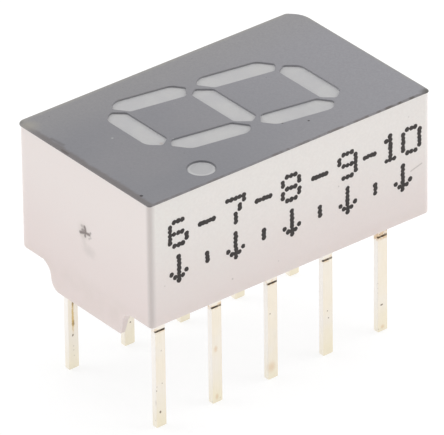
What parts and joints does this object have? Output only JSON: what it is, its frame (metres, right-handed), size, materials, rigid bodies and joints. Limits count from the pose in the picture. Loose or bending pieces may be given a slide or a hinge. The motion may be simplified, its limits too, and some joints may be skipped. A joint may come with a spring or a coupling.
{
  "type": "seven segment display",
  "caption": "Single-digit seven segment LED display with a slanted digit, right-hand decimal point, grey face, white body and two rows of straight leads.",
  "frame": {"origin": "centre of the ten-lead pattern, on the seating plane that the two stand-off tabs define; the lead tips are 4.08 mm below it", "axes": "+X to the digit's right, +Y to the digit's top, +Z out of the display face"},
  "size_m": [0.0076, 0.0126, 0.0101],
  "materials": {
    "white_moulding": "fine matt moulded white thermoplastic",
    "grey_coat": "matt grey printed coat",
    "clear_milky_resin": "milky cast epoxy with fine diffuser, satin",
    "gold_plated_lead": "pale thin plating on stamped strip",
    "led_die": "sawn semiconductor",
    "die_attach": "silver-filled adhesive",
    "bond_wire": "drawn gold wire"
  },
  "bodies": {
    "root": {"housing": "white_moulding", "face_coat": "grey_coat", "epoxy_fill": "clear_milky_resin", "lead_common": "gold_plated_lead", "lead_a": "gold_plated_lead", "lead_b": "gold_plated_lead", "lead_c": "gold_plated_lead", "lead_d": "gold_plated_lead", "lead_e": "gold_plated_lead", "lead_f": "gold_plated_lead", "lead_g": "gold_plated_lead", "lead_dp": "gold_plated_lead", "die_a": "led_die", "die_b": "led_die", "die_c": "led_die", "die_d": "led_die", "die_e": "led_die", "die_f": "led_die", "die_g": "led_die", "die_dp": "led_die", "attach_a": "die_attach", "attach_b": "die_attach", "attach_c": "die_attach", "attach_d": "die_attach", "attach_e": "die_attach", "attach_f": "die_attach", "attach_g": "die_attach", "attach_dp": "die_attach", "wire_a": "bond_wire", "wire_b": "bond_wire", "wire_c": "bond_wire", "wire_d": "bond_wire", "wire_e": "bond_wire", "wire_f": "bond_wire", "wire_g": "bond_wire", "wire_dp": "bond_wire"}
  },
  "joints": []
}
